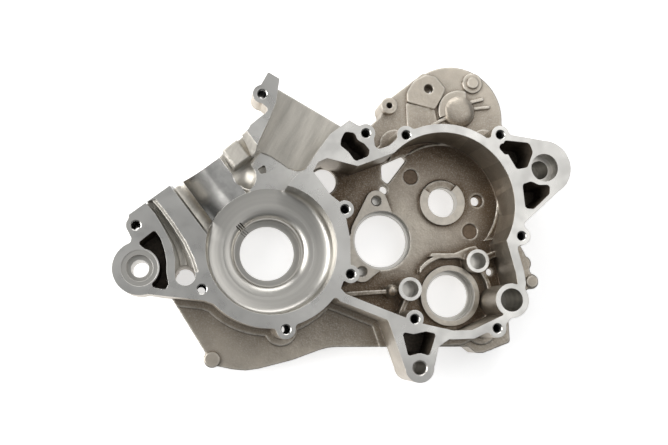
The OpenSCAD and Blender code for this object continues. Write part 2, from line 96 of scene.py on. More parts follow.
# Outlines of the hollows that open at the joint face, seen from above
GEARBOX = (
    (54, 65), (91, 82), (136, 93), (160, 85), (180, 66), (189, 40), (183, 12), (191, -15),
    (197, -38), (166, -55), (130, -59), (113, -54), (90, -44), (54, -32), (49, 0), (48, 39),
)
TRACT = (
    (5.2, 129.0), (2.4, 110), (-2.7, 96.5), (-10.5, 79), (-12.5, 72), (-30, 56), (-30, 30),
    (8.6, 43.4), (18.3, 55.0), (25.7, 59.8), (32.6, 71.1), (43.4, 86.7), (58.4, 98.2),
)
CHANNEL = (
    (-94, 33), (-85.1, 24.1), (-78.4, 13), (-72.7, 1.9), (-70.2, -8.8), (-70.6, -19), (-52, -19),
    (-55, -7), (-61, 5), (-70, 18), (-78, 30), (-86, 36),
)
POCKETS = (
    ((-85, 12.5), (-80.5, 6), (-77.2, -4), (-76, -12), (-76, -18), (-74.3, -27), (-76.5, -31),
     (-88.5, -28.5), (-88.5, -24), (-86, -20), (-90, -3), (-97, 2.5)),
    ((54.5, 89.5), (61.8, 88.5), (64.5, 83), (69.5, 80.5), (73.4, 76), (72.8, 71), (62.5, 66.6),
     (57, 74), (51, 78.6), (51.4, 83)),
    ((178.5, 82.5), (180, 86.7), (200, 85.2), (202.8, 78), (198, 65.8), (189.5, 64)),
    ((193.6, 52.5), (200.6, 55), (207, 52.3), (216, 52.6), (215.4, 45.5), (202.5, 33.4),
     (195.5, 33.6)),
    ((97.4, -60.8), (106, -62.6), (115.5, -60.6), (123.4, -62.3), (118, -78.6), (111, -76.6),
     (101.8, -78.8)),
)

# Tolerances of the sorting of faces into finishes
TOUCH = 0.05  # from a flat face
FLOOR_SLACK = 0.1  # from the floor of the intake tract
SLACK = 0.3  # from a round wall
LEVEL = 0.99  # least height of the normal of a face that looks straight up

# Depths down to which the finish of a hollow goes
CHAMBER_BOTTOM = 34.6
BORE_BOTTOM = 41.0
DUCT_BOTTOM = 38.5
POCKET_BOTTOM = 34.2
CHANNEL_BOTTOM = 14.5

# Holes and seats: centre, reach, depth that the finish goes down to, finish
ROUND_PLACES = (
    *((place, 4.5, CASE_DEPTH, "tapped") for place in BOLT_PLACES),
    (CRANK_AXIS, SEAT_R + 0.4, 50.0, "turned"),
    (FRONT_MOUNT, 13.4, math.inf, "small_seat"),
    (BOTTOM_MOUNT, 6.4, math.inf, "small_seat"),
    (PIVOT_MOUNT, 10.95, math.inf, "small_seat"),
    (REAR_BORE, 9.0, 39.0, "small_seat"),
    (INPUT_AXIS, 23.6, math.inf, "input_seat"),
    (OUTPUT_AXIS, 20.1, math.inf, "output_seat"),
    (DRUM_AXIS, 12.1, math.inf, "drum_seat"),
    *((place, 6.7, math.inf, "small_seat") for place in RAIL_AXES),
    *((place, 5.0, math.inf, "small_seat") for place in RETAINER_HOLES),
)
# Machined flats round a centre: centre, reach, least and greatest depth, finish
FLATS = (
    (OUTPUT_AXIS, 24.2, 36.9, 38.1, "faced"),
    (DRUM_AXIS, 18.8, 36.9, 38.1, "faced"),
    *((place, 9.4, 25.9, 26.1, "milled") for place in RAIL_AXES),
    (INPUT_AXIS, 45.0, 37.9, 38.1, "faced"),
)
# Ejector marks: centre and reach
MARKS = (((115.1, 63.2), 6.0), ((163.7, 19.7), 6.1), ((170.0, 44.8), 5.1))
MARK_TOP = 38.5
# The spigot bore begins this far out from the crankshaft and ends this far to the side
BORE_START, BORE_SIDE = 30.0, 14.5
# Between which distances out and to the side the transfer ducts lie
DUCT_OUT = (42.0, CYLINDER_BASE + 0.5)
DUCT_SIDE = (-33.5, 39.0)
DUCT_POCKET = (-6.0, 64.0)
DUCT_POCKET_R = 9.0
# How far from the crankshaft the lower part of the tract floor reaches
LAND_R = 85.0

# Coned floor and large radius of the crank chamber: distance from the crankshaft, and rise
DISH_RISE = (
    (34.9, 0.03), (38.0, 0.35), (41.5, 0.85), (44.5, 1.55), (46.4, 2.7), (47.6, 4.6), (48.3, 7.2),
    (CHAMBER_R, 9.2),
)
DISH_STEPS = 144
DISH_BURIED = 0.6  # underside, below the floor
DISH_SUNK = 0.06  # top below the floor where the wall is open
DISH_PLAIN_R = 36.0  # rings inside this radius are round
DISH_MOUTH_R = 48.3  # outer ring where the wall is open
DISH_OVERLAP = 0.7  # how much further out it lies in the wall
MOUTH_START, MOUTH_END = 79.0, 153.0  # degrees between which the chamber wall is open
MOUTH_FADE = 15.0

# Bead on the band of the gearbox floor
BAND_CENTRE = (140.2, 43.3)
BAND_R = 46.6
BAND_DEPTH = 40.2
BAND_TURNS = range(-36, 128, 3)
BAND_BEAD_R = 0.95

# Ridges on the floor of the coolant channel: pairs of points on its two walls
CHANNEL_SIDES = (
    ((-89, 28.6), (-84, 30.2)), ((-85.1, 24.1), (-81.2, 26.8)), ((-78.4, 13), (-73, 15.7)),
    ((-72.7, 1.9), (-64.6, 3)), ((-70, -8.8), (-58.9, -8.7)), ((-70.1, -13), (-57.5, -13)),
)
RIDGE_SHARES = (0.30, 0.68)
RIDGE_DEPTH = 9.1
RIDGE_R = 0.7

# Stepped pads at the mouth of the rear duct: (side, depth) profile, and where it starts and ends
PAD_PROFILE = ((16.5, 33.0), (16.5, 11.8), (29.2, 9.0), (29.2, 16.5), (40.0, 16.5), (40.0, 33.0))
PAD_START, PAD_END = 65.8, 81.4

# Seams of the casting's mesh closer than this are joined, in metres
WELD = 4e-6

# Lamps: name, property of its power, place, aim, width and depth in metres
LAMPS = (
    ("key", "key_power", (0.0, 1.25, 0.85), (0.05, 0.02, 0.0), 1.4, 0.8),
    ("ceiling", "ceiling_power", (0.60, 0.25, 0.95), (0.08, 0.03, 0.0), 0.7, 0.8),
    ("side", "side_power", (-1.0, 0.10, 0.72), (0.02, 0.0, 0.0), 1.0, 0.8),
)
FLOOR_HALF = 4.0
# Strength of the room's light at the horizon, and its colour
HORIZON = 0.8
ROOM_TINT = (0.97, 0.985, 1.0, 1)
SENSOR_WIDTH = 36
# The way down along Z, in the camera's own frame of right, down and ahead
CAMERA_DOWN = (-144.0, 109.5, 928.0)

NODE_GAP = 180
# Cosines of the bend of the softened normal where the edge wear and its painted highlight start and where
# they are complete
WEAR_AND_GLINT_BEND = (0.995, 0.90)
WORN_ROUGHNESS = 0.7


class CastingLook(bpy.types.PropertyGroup):
    """Colours and texture sizes of the casting"""

    metal: bpy.props.FloatVectorProperty(
        name="Machined metal", description="Colour of the milled faces",
        subtype="COLOR", size=3, min=0, max=1, default=(0.60, 0.587, 0.558))
    turned: bpy.props.FloatVectorProperty(
        name="Turned metal", description="Colour of the turned chamber and seats",
        subtype="COLOR", size=3, min=0, max=1, default=(0.54, 0.522, 0.485))
    skin: bpy.props.FloatVectorProperty(
        name="Cast skin", description="Colour of the rough cast surfaces",
        subtype="COLOR", size=3, min=0, max=1, default=(0.53, 0.475, 0.40))
    # Painted shade with an oily brown tint, laid over sheltered places of the cast skin and used for the
    # ejector marks
    oily_shade: bpy.props.FloatVectorProperty(
        name="Oily shade", description="Colour of the cast skin in sheltered places",
        subtype="COLOR", size=3, min=0, max=1, default=(0.105, 0.074, 0.048))
    faced: bpy.props.FloatVectorProperty(
        name="Faced metal", description="Colour of the skimmed faces inside the case",
        subtype="COLOR", size=3, min=0, max=1, default=(0.50, 0.46, 0.40))
    passage: bpy.props.FloatVectorProperty(
        name="Gas passages", description="Colour of the smoother cored passages",
        subtype="COLOR", size=3, min=0, max=1, default=(0.55, 0.52, 0.465))
    # Painted shade: near-black colour of the deep pockets, also laid into creases and corners
    cored: bpy.props.FloatVectorProperty(
        name="Cored pockets", description="Colour of the deep pockets",
        subtype="COLOR", size=3, min=0, max=1, default=(0.13, 0.105, 0.08))
    machined_edge: bpy.props.FloatProperty(
        name="Machined edge", description="Radius of the broken edges on machined faces",
        unit="LENGTH", min=0, max=0.002, default=0.0004)
    cast_edge: bpy.props.FloatProperty(
        name="Cast edge", description="Radius of the soft edges and corners of the cast skin",
        unit="LENGTH", min=0, max=0.005, default=0.0016)
    grain: bpy.props.FloatProperty(
        name="Sand grain", description="Size of the grains that the mould left on the cast skin",
        unit="LENGTH", min=0.0002, max=0.005, default=0.0011)
    smooth_angle: bpy.props.FloatProperty(
        name="Smooth angle", description="Facets that meet below this angle shade as one curve",
        subtype="ANGLE", min=0, max=math.pi / 2, default=math.radians(28))


class StageLook(bpy.types.PropertyGroup):
    """Floor, lamps and camera"""

    floor: bpy.props.FloatVectorProperty(
        name="Floor", description="Colour of the floor",
        subtype="COLOR", size=3, min=0, max=1, default=(0.80, 0.80, 0.80))
    key_power: bpy.props.FloatProperty(
        name="Key lamp", description="Power of the large lamp above the picture's top edge, in watts",
        min=0, max=200, default=10.2)
    ceiling_power: bpy.props.FloatProperty(
        name="Ceiling lamp", description="Power of the soft lamp overhead on the gearbox side, in watts",
        min=0, max=200, default=2.05)
    side_power: bpy.props.FloatProperty(
        name="Side lamp", description="Power of the soft lamp beside the cylinder side, in watts",
        min=0, max=200, default=15)
    room: bpy.props.FloatProperty(
        name="Room light", description="Strength of the light from the room overhead",
        min=0, max=3, default=0.42)
    room_low: bpy.props.FloatProperty(
        name="Low room light", description="Strength of the light from the room at mid height",
        min=0, max=3, default=0.12)
    lens: bpy.props.FloatProperty(
        name="Lens", description="Focal length of the camera in millimetres on a 36 mm wide sensor",
        min=10, max=300, default=50.0)
    eye: bpy.props.FloatVectorProperty(
        name="Camera place", description="Where the camera stands above the joint face",
        subtype="XYZ", unit="LENGTH", size=3, default=(-0.05847, -0.06095, 0.71859))


class Tree:
    """Small helper that adds and joins the nodes of one material"""

    def __init__(self, name):
        self.material = bpy.data.materials.new(name)
        self.material.use_nodes = True
        self.tree = self.material.node_tree
        self.tree.nodes.clear()
        self.x = 0

    def add(self, kind, settings=None, **inputs):
        """Adds a node; an input goes by its socket's name, or by i and its number"""
        node = self.tree.nodes.new(kind)
        node.location = (self.x, 0)
        self.x += NODE_GAP
        for key, value in (settings or {}).items():
            setattr(node, key, value)
        for key, value in inputs.items():
            name = key.replace("_", " ")
            socket = node.inputs[name if name in node.inputs else int(key[1:])]
            if isinstance(value, bpy.types.NodeSocket):
                self.tree.links.new(value, socket)
            else:
                socket.default_value = value
        return node

    def math(self, operation, a, b=0.0, clamp=False):
        settings = {"operation": operation, "use_clamp": clamp}
        return self.add("ShaderNodeMath", settings, i0=a, i1=b).outputs[0]

    def vector(self, operation, a, b=(0.0, 0.0, 0.0)):
        return self.add("ShaderNodeVectorMath", {"operation": operation}, i0=a, i1=b).outputs

    def split(self, vector):
        return self.add("ShaderNodeSeparateXYZ", None, Vector=vector).outputs

    def ramp(self, value, low, high, out_low=0, out_high=1):
        return self.add(
            "ShaderNodeMapRange", None, Value=value, i1=low, i2=high, i3=out_low, i4=out_high).outputs[0]

    def mix(self, factor, a, b):
        return self.add("ShaderNodeMix", {"data_type": "RGBA"}, i0=factor, i6=a, i7=b).outputs[2]

    def place(self):
        return self.add("ShaderNodeTexCoord").outputs["Object"]

    def true_normal(self):
        return self.add("ShaderNodeNewGeometry").outputs["True Normal"]

    def stretched(self, place, turn, scale):
        """The place turned about Z by an angle in degrees and drawn out by the scale"""
        return self.add(
            "ShaderNodeMapping", {"vector_type": "TEXTURE"}, Vector=place,
            Rotation=(0, 0, math.radians(turn)), Scale=scale).outputs[0]

    def noise(self, vector, size, detail=3.0, roughness=0.5):
        return self.add(
            "ShaderNodeTexNoise", None, Vector=vector, Scale=1.0 / size, Detail=detail,
            Roughness=roughness).outputs["Fac"]

    def soft_normal(self, radius, samples=8):
        return self.add("ShaderNodeBevel", {"samples": samples}, Radius=radius).outputs[0]

    def bump(self, height, normal, strength, distance):
        return self.add(
            "ShaderNodeBump", None, Height=height, Normal=normal, Strength=strength,
            Distance=distance).outputs[0]

    def finish(self, **inputs):
        """Ends the tree with a metal shader and gives its material"""
        return self.output(self.add("ShaderNodeBsdfPrincipled", None, **inputs))

    def output(self, shader):
        output = self.add("ShaderNodeOutputMaterial")
        self.tree.links.new(shader.outputs[0], output.inputs[0])
        return self.material


def rgba(colour, gain=1.0):
    return (colour[0] * gain, colour[1] * gain, colour[2] * gain, 1.0)


# Mask of the broken edges, for their wear and their painted highlight
def wear_and_glint(t, soft):
    """How close a point is to a broken edge, from the bend of the softened normal"""
    return t.ramp(t.vector("DOT_PRODUCT", soft, t.true_normal())["Value"], *WEAR_AND_GLINT_BEND)


def shelter(t, reach, samples=6, inside=False):
    """Openness of a point: 1 in the open, 0 in a deep corner"""
    settings = {"samples": samples, "inside": inside}
    return t.add("ShaderNodeAmbientOcclusion", settings, Distance=reach).outputs["AO"]


def brighter(t, tone, edge, share, colour):
    """The tone, with a lighter colour laid over the edges: edge wear and a painted highlight"""
    return t.mix(t.math("MULTIPLY", edge, share), tone, colour)


def rougher(t, rough, edge):
    """The roughness, raised on broken edges so that they catch light from all around"""
    return t.math("MAXIMUM", rough, t.math("MULTIPLY", edge, WORN_ROUGHNESS))


def milled_material(look):
    """Milled joint and boss faces: pale metal with cutter marks, uneven sheen, and edges made bright by
    wear and a painted highlight
    """
    t = Tree("milled")
    place = t.place()
    drift = t.noise(place, size=0.045, detail=0.0)
    blots = t.noise(place, size=0.012, detail=2.0)
    lines = t.noise(t.stretched(place, 24, (20.0, 1.0, 1.0)), size=0.0011, roughness=0.6)
    soft = t.soft_normal(look.machined_edge)
    edge = wear_and_glint(t, soft)
    normal = t.bump(lines, soft, strength=0.16, distance=0.00006)
    normal = t.bump(drift, normal, strength=0.5, distance=0.0025)
    tone = t.mix(t.ramp(drift, 0.36, 0.64), rgba(look.metal, 0.88), rgba(look.metal, 1.08))
    tone = t.mix(t.ramp(blots, 0.52, 0.70, 0, 0.5), tone, rgba(look.metal, 0.84))
    # Painted highlight with edge wear: lighter metal on the broken edges
    tone = brighter(t, tone, edge, 0.8, rgba(look.metal, 1.42))
    rough = rougher(t, t.ramp(blots, 0.3, 0.7, 0.24, 0.38), edge)
    return t.finish(Base_Color=tone, Metallic=1.0, Roughness=rough, Normal=normal)


def faced_material(look):
    """Faces skimmed inside the case: warmer, duller metal with oily stains, painted shade in the corners
    and edges lightened by wear and a painted highlight
    """
    t = Tree("faced")
    stains = t.noise(t.place(), size=0.008, detail=4.0, roughness=0.6)
    soft = t.soft_normal(look.machined_edge)
    edge = wear_and_glint(t, soft)
    normal = t.bump(stains, soft, strength=0.25, distance=0.0003)
    tone = t.mix(t.ramp(stains, 0.38, 0.66), rgba(look.faced, 0.78), rgba(look.faced, 1.12))
    # Painted highlight with edge wear on the broken edges
    tone = brighter(t, tone, edge, 0.7, rgba(look.metal, 1.2))
    # Painted shade: darker towards the pocket colour in sheltered corners
    tone = t.mix(t.ramp(shelter(t, 0.010), 0.6, 0.15, 0, 0.8), tone, rgba(look.cored))
    rough = rougher(t, t.ramp(stains, 0.3, 0.7, 0.30, 0.46), edge)
    return t.finish(Base_Color=tone, Metallic=1.0, Roughness=rough, Normal=normal)


def turned_material(look, name="turned", axis=CRANK_AXIS, stretch=0.5, gloom=0.3):
    """Turned metal: fine rings and a few wider bands about an upright axis"""
    t = Tree(name)
    place = t.place()
    off_axis = t.split(t.vector("SUBTRACT", place, (axis[0] / TO_MM, axis[1] / TO_MM, 0.0))[0])
    flat = t.add("ShaderNodeCombineXYZ", None, X=off_axis[0], Y=off_axis[1])
    radius = t.vector("LENGTH", flat.outputs[0])["Value"]
    across = t.math("ADD", radius, off_axis[2])
    track = t.add("ShaderNodeCombineXYZ", None, X=across).outputs[0]
    rings = t.noise(track, size=0.0009, detail=4.0, roughness=0.7)
    bands = t.noise(track, size=0.0055, detail=2.0)
    drift = t.noise(place, size=0.04, detail=0.0)
    soft = t.soft_normal(look.machined_edge)
    edge = wear_and_glint(t, soft)
    normal = t.bump(rings, soft, strength=0.12, distance=0.00007)
    normal = t.bump(bands, normal, strength=0.20, distance=0.0006)
    normal = t.bump(drift, normal, strength=0.30, distance=0.0012)
    round_about = t.add("ShaderNodeTangent", {"direction_type": "RADIAL", "axis": "Z"}).outputs[0]
    tone = t.mix(t.ramp(bands, 0.38, 0.64), rgba(look.turned, 0.90), rgba(look.turned, 1.10))
    # Painted highlight with edge wear on the broken edges
    tone = brighter(t, tone, edge, 0.8, rgba(look.metal, 1.42))
    # Painted shade: darker in sheltered places, by the share gloom
    tone = t.mix(t.ramp(shelter(t, 0.014), 0.55, 0.15, 0, gloom), tone, rgba(look.turned, 0.40))
    return t.finish(
        Base_Color=tone, Metallic=1.0, Roughness=rougher(t, 0.34, edge), Anisotropic=stretch,
        Tangent=round_about, Normal=normal)


def seat_material(look, name, axis, gloom=0.3):
    """Bearing seat: turned metal with rings about the seat's own axis"""
    return turned_material(look, name, axis, 0.0, gloom)


def bored_material(look):
    """Fine bored spigot seat, almost a mirror, with slow waves left by the tool"""
    t = Tree("bored")
    place = t.place()
    waves = t.noise(place, size=0.026, detail=0.0)
    smear = t.noise(place, size=0.010, detail=2.0)
    soft = t.soft_normal(look.machined_edge, 6)
    normal = t.bump(waves, soft, strength=0.5, distance=0.0022)
    normal = t.bump(smear, normal, strength=0.02, distance=0.0003)
    aside = t.vector("DOT_PRODUCT", place, tuple(CYLINDER_SIDE))["Value"]
    # Painted dark reflection: the base colour turns almost black towards one side of the bore, with a
    # wavy border
    painted_dark_side = t.ramp(t.math("ADD", aside, t.math("MULTIPLY", waves, 0.030)), -0.012, 0.020, 0.93, 0)
    tone = t.mix(t.ramp(smear, 0.4, 0.7), rgba(look.metal, 1.2), rgba(look.metal, 0.9))
    tone = t.mix(painted_dark_side, tone, rgba(look.metal, 0.12))
    rough = t.ramp(smear, 0.35, 0.7, 0.19, 0.24)
    return t.finish(Base_Color=tone, Metallic=1.0, Roughness=rough, Normal=normal)


def tapped_material(look):
    """Drilled and tapped holes: bright at the mouth, with painted shade that makes them black further in
    """
    t = Tree("tapped")
    pitch = 0.0015
    ridge = t.math("SINE", t.math("MULTIPLY", t.split(t.place())[2], 2 * math.pi / pitch))
    normal = t.bump(ridge, t.soft_normal(look.machined_edge, 6), strength=0.35, distance=0.0003)
    deep = t.ramp(shelter(t, 0.012, 8), 0.36, 0.20)
    tone = t.mix(deep, rgba(look.metal, 0.95), (0.006, 0.005, 0.004, 1))
    return t.finish(
        Base_Color=tone, Metallic=t.math("SUBTRACT", 1.0, deep),
        Roughness=t.ramp(deep, 0, 1, 0.24, 1.0), Normal=normal)


def duct_material(look):
    """Cored gas passages, smoother than the outside"""
    t = Tree("duct")
    place = t.place()
    flow = t.stretched(place, -29.5, (1.0, 7.0, 1.0))
    streaks = t.noise(flow, size=0.009, detail=4.0, roughness=0.6)
    grain = t.noise(place, look.grain * 1.6, detail=4.0, roughness=0.6)
    soft = t.soft_normal(look.cast_edge)
    edge = wear_and_glint(t, t.soft_normal(look.machined_edge, 6))
    normal = t.bump(grain, soft, strength=0.20, distance=0.0003)
    normal = t.bump(streaks, normal, strength=0.35, distance=0.0012)
    tone = t.mix(t.ramp(streaks, 0.40, 0.66), rgba(look.passage, 1.04), rgba(look.passage, 0.74))
    # Painted highlight with edge wear on the broken edges
    tone = brighter(t, tone, edge, 0.8, rgba(look.metal, 1.4))
    # Painted shade: darker in sheltered places
    tone = t.mix(t.ramp(shelter(t, 0.014), 0.6, 0.2, 0, 0.7), tone, rgba(look.passage, 0.42))
    rough = t.ramp(grain, 0.3, 0.7, 0.36, 0.47)
    return t.finish(Base_Color=tone, Metallic=0.9, Roughness=rough, Normal=normal)


def cast_material(look, name="cast", oily_shade_share=0.6, specks=0.55, gain=1.0):
    """Rough cast skin with sand grain; painted shade with an oily brown tint in sheltered places and
    near-black in creases; edges lighter from rubbing and a painted highlight
    """
    t = Tree(name)
    place = t.place()
    grain = t.noise(place, look.grain, detail=5.0, roughness=0.62)
    pits = t.noise(place, look.grain * 3.4, detail=4.0, roughness=0.6)
    drift = t.noise(place, size=0.030, detail=4.0, roughness=0.6)
    normal = t.bump(drift, t.soft_normal(look.cast_edge), strength=0.45, distance=0.0022)
    normal = t.bump(pits, normal, strength=0.35, distance=0.0006)
    normal = t.bump(grain, normal, strength=0.28, distance=0.0003)
    # Convex edges: lighter from rubbing and from a painted highlight
    rubbed_and_glint = t.ramp(shelter(t, 0.0022, 6, True), 0.92, 0.55)
    rubbed_and_glint = t.math("MULTIPLY", rubbed_and_glint, t.ramp(pits, 0.35, 0.62, 0.35, 1))
    # Painted shade with an oily brown tint: darker in sheltered places, most on faces that look up
    upward = t.ramp(t.split(t.true_normal())[2], 0.2, 0.9, 0.12, 1)
    cavity = t.math("MULTIPLY", t.ramp(shelter(t, 0.060, 8), 0.92, 0.52), upward)
    # Painted shade: near-black in creases and tight corners
    crease = t.ramp(shelter(t, 0.008), 0.70, 0.25, 0, 0.8)
    dull, pale = rgba(look.skin, 0.86 * gain), rgba(look.skin, 1.14 * gain)
    tone = t.mix(t.ramp(drift, 0.36, 0.66), dull, pale)
    tone = t.mix(t.math("MULTIPLY", cavity, oily_shade_share), tone, rgba(look.oily_shade))
    tone = t.mix(t.ramp(grain, 0.50, 0.72, 0, specks), tone, rgba(look.passage))
    tone = t.mix(crease, tone, rgba(look.cored))
    tone = brighter(t, tone, rubbed_and_glint, 0.85, rgba(look.passage, 1.35))
    rough = t.ramp(grain, 0.3, 0.7, 0.46, 0.33)
    return t.finish(Base_Color=tone, Metallic=0.92, Roughness=rough, Normal=normal)


def dark_material(look, name, colour):
    """Dark cast skin of a place that the light hardly reaches"""
    t = Tree(name)
    grain = t.noise(t.place(), look.grain * 2, detail=4.0)
    normal = t.bump(grain, t.soft_normal(look.cast_edge, 6), strength=0.4, distance=0.0004)
    tone = t.mix(t.ramp(grain, 0.4, 0.7), rgba(colour, 0.8), rgba(colour, 1.3))
    tone = t.mix(t.ramp(shelter(t, 0.006), 0.75, 0.3, 0, 0.8), tone, rgba(colour, 0.25))
    return t.finish(Base_Color=tone, Metallic=0.5, Roughness=0.45, Normal=normal)


def floor_material(look):
    """White floor that keeps the casting's shadow and looks brighter where it lies open"""
    t = Tree("floor")
    paint = t.add("ShaderNodeBsdfDiffuse", None, Color=rgba(look.floor))
    open_floor = t.ramp(shelter(t, 0.015, 16), 0.08, 0.30, 0, 0.62)
    glow = t.add("ShaderNodeEmission", None, Color=(1, 1, 1, 1), Strength=open_floor)
    path = t.add("ShaderNodeLightPath").outputs
    seen = t.math("ADD", path["Is Camera Ray"], path["Is Glossy Ray"])
    seen = t.math("ADD", seen, path["Is Transmission Ray"], clamp=True)
    black = t.add("ShaderNodeEmission", None, Color=(0, 0, 0, 1), Strength=0.0)
    extra = t.add("ShaderNodeMixShader", None, Fac=seen, i1=black.outputs[0], i2=glow.outputs[0])
    return t.output(t.add("ShaderNodeAddShader", None, i0=paint.outputs[0], i1=extra.outputs[0]))


# Finishes of the casting, in the order of its material slots
FINISHES = {
    "milled": milled_material,
    "turned": turned_material,
    "bored": bored_material,
    "tapped": tapped_material,
    "duct": duct_material,
    "cored": lambda look: dark_material(look, "cored", look.cored),
    "cast": cast_material,
    "faced": faced_material,
    "marked": lambda look: dark_material(look, "marked", [1.35 * part for part in look.oily_shade]),
    # Inside the gearbox: painted shade, a darker skin and the full oily shade in sheltered places
    "inner": lambda look: cast_material(look, "inner", oily_shade_share=1.0, specks=0.28, gain=0.82),
    "input_seat": lambda look: seat_material(look, "input_seat", INPUT_AXIS),
    "output_seat": lambda look: seat_material(look, "output_seat", OUTPUT_AXIS),
    "drum_seat": lambda look: seat_material(look, "drum_seat", DRUM_AXIS),
    "small_seat": lambda look: seat_material(look, "small_seat", FRONT_MOUNT, gloom=0.0),
}
SLOTS = {name: slot for slot, name in enumerate(FINISHES)}


def near(point, place, reach):
    return math.hypot(point.x - place[0], point.y - place[1]) < reach


def inside(point, corners, reach):
    """Whether a point lies in an outline, or within reach of its edge"""
    hit = False
    x, y = point.x, point.y
    for k, (x1, y1) in enumerate(corners):
        x2, y2 = corners[(k + 1) % len(corners)]
        if (y1 > y) != (y2 > y) and x < (x2 - x1) * (y - y1) / (y2 - y1) + x1:
            hit = not hit
        run = Vector((x2 - x1, y2 - y1))
        t = max(0.0, min(1.0, Vector((x - x1, y - y1)).dot(run) / run.length_squared))
        if math.hypot(x - x1 - t * run.x, y - y1 - t * run.y) < reach:
            return True
    return hit


def finish_of(point, normal):
    """Which finish a face has, from its centre in millimetres and its outward normal"""
    depth = JOINT_Z - point.z
    up = normal.z > LEVEL
    if (up and depth < TOUCH) or (normal.z < -LEVEL and depth > CASE_DEPTH - TOUCH):
        return "milled"
    for place, reach, bottom, name in ROUND_PLACES:
        if near(point, place, reach) and depth < bottom:
            return name
    for place, reach, least, greatest, name in FLATS:
        if up and least < depth < greatest and near(point, place, reach):
            return name
    if MARK_TOP < depth < GEARBOX_DEPTH and any(near(point, *mark) for mark in MARKS):
        return "marked"
    if in_chamber(point, normal, depth):
        return "turned"
    if in_spigot_bore(point, normal, depth):
        return "bored"
    if on_outer_face(point, normal) or (up and on_milled_land(point, depth)):
        return "milled"
    if in_passage(point, normal, depth):
        return "duct"
    if TOUCH < depth < POCKET_BOTTOM and any(inside(point, outline, 1.2) for outline in POCKETS):
        return "cored"
    if 0.5 < depth < CHANNEL_BOTTOM and inside(point, CHANNEL, 0.5):
        return "duct"
    return "inner" if depth < GEARBOX_DEPTH and inside(point, GEARBOX, 0.0) else "cast"


def in_chamber(point, normal, depth):
    """Floor of the crank chamber, and its wall where that faces the crankshaft"""
    r = math.hypot(point.x, point.y)
    if r >= CHAMBER_R + SLACK or depth >= CHAMBER_BOTTOM or normal.z <= -0.5:
        return False
    inward = -(normal.x * point.x + normal.y * point.y) / max(r, 1e-6)
    return r < CHAMBER_R - SLACK or inward > 0.9


def in_spigot_bore(point, normal, depth):
    """Half bore of the cylinder spigot, up to the rear duct"""
    out, side = point.dot(CYLINDER_OUT), point.dot(CYLINDER_SIDE)
    if depth >= BORE_BOTTOM or out <= BORE_START or side >= BORE_SIDE or normal.z <= -0.01:
        return False
    return abs(math.hypot(side - CYLINDER_OFFSET, depth) - SPIGOT_R) < SLACK


def on_outer_face(point, normal):
    """Faces that the cylinder and the intake are bolted to"""
    return any(
        normal.dot(out) > 0.999 and abs(point.dot(out) - distance) < TOUCH
        for out, distance in ((CYLINDER_OUT, CYLINDER_BASE), (INTAKE_OUT, INTAKE_DISTANCE)))


def on_milled_land(point, depth):
    """Part of the tract floor that is milled a little lower, next to the crank chamber"""
    low = TRACT_DEPTH + FLOOR_SLACK < depth < TRACT_DEPTH + 1
    return low and math.hypot(point.x, point.y) < LAND_R


def in_passage(point, normal, depth):
    """Faces of the intake tract and of the transfer ducts"""
    if depth >= DUCT_BOTTOM or normal.z < -0.2:
        return False
    if depth <= TRACT_DEPTH + FLOOR_SLACK and inside(point, TRACT, 0.35):
        return True
    if depth <= TRACT_DEPTH + 7 and near(point, DUCT_POCKET, DUCT_POCKET_R):
        return True
    out, side = point.dot(CYLINDER_OUT), point.dot(CYLINDER_SIDE)
    return DUCT_OUT[0] < out < DUCT_OUT[1] and DUCT_SIDE[0] < side < DUCT_SIDE[1]


def wall_share(turn):
    """How much of the chamber wall stands at an angle: 0 in the open mouth, 1 round the rest"""
    past_mouth = (MOUTH_START - turn) % 360.0
    length = (MOUTH_START - MOUTH_END) % 360.0
    if past_mouth > length:
        return 0.0
    return max(0.0, min(1.0, past_mouth / MOUTH_FADE, (length - past_mouth) / MOUTH_FADE))


def add_dish(work):
    """Coned floor of the crank chamber and the large radius where it meets the wall"""
    rings = []
    for k in range(DISH_STEPS):
        turn = 360.0 * k / DISH_STEPS
        share = wall_share(turn)
        c, s = math.cos(math.radians(turn)), math.sin(math.radians(turn))
        reach = DISH_MOUTH_R + DISH_OVERLAP * share
        line = [(DISH_RISE[0][0], CHAMBER_DEPTH + DISH_BURIED)]
        for r, rise in DISH_RISE:
            depth = CHAMBER_DEPTH + DISH_SUNK - (rise + DISH_SUNK) * share
            line.append((r * reach / CHAMBER_R if r > DISH_PLAIN_R else r, depth))
        line.append((reach + 0.02, CHAMBER_DEPTH + DISH_BURIED))
        rings.append([work.verts.new((r * c, r * s, JOINT_Z - depth)) for r, depth in line])
    for a, b in zip(rings, rings[1:] + rings[:1]):
        for j in range(len(a)):
            i = (j + 1) % len(a)
            work.faces.new((a[j], a[i], b[i], b[j]))


def smooth_path(path, parts=5):
    """The path with more points, on smooth curves through the given ones"""
    last = len(path) - 1
    points = []
    for k in range(last):
        a, b, c, d = (path[min(max(i, 0), last)] for i in range(k - 1, k + 3))
        for step in range(parts):
            t = step / parts
            points.append(0.5 * (
                2 * b + (c - a) * t + (2 * a - 5 * b + 4 * c - d) * t * t
                + (3 * b - a - 3 * c + d) * t ** 3))
    return points + [path[-1]]


def add_bead(work, path, radius, sides=16):
    """Half buried round bead along a path of points, thinner at both ends"""
    last = len(path) - 1
    rings = []
    for k, point in enumerate(path):
        ahead = path[min(k + 1, last)] - path[max(k - 1, 0)]
        ahead.normalize()
        across = ahead.cross(Vector((0, 0, 1))).normalized()
        up = across.cross(ahead)
        size = radius * (0.35 if k in (0, last) else 1.0)
        rings.append([
            work.verts.new(point + size * (math.cos(a) * across + math.sin(a) * up))
            for a in (2 * math.pi * (i + 0.5) / sides for i in range(sides))])
    for a, b in zip(rings, rings[1:]):
        for i in range(sides):
            j = (i + 1) % sides
            work.faces.new((a[i], b[i], b[j], a[j]))
    work.faces.new(rings[0])
    work.faces.new(list(reversed(rings[-1])))


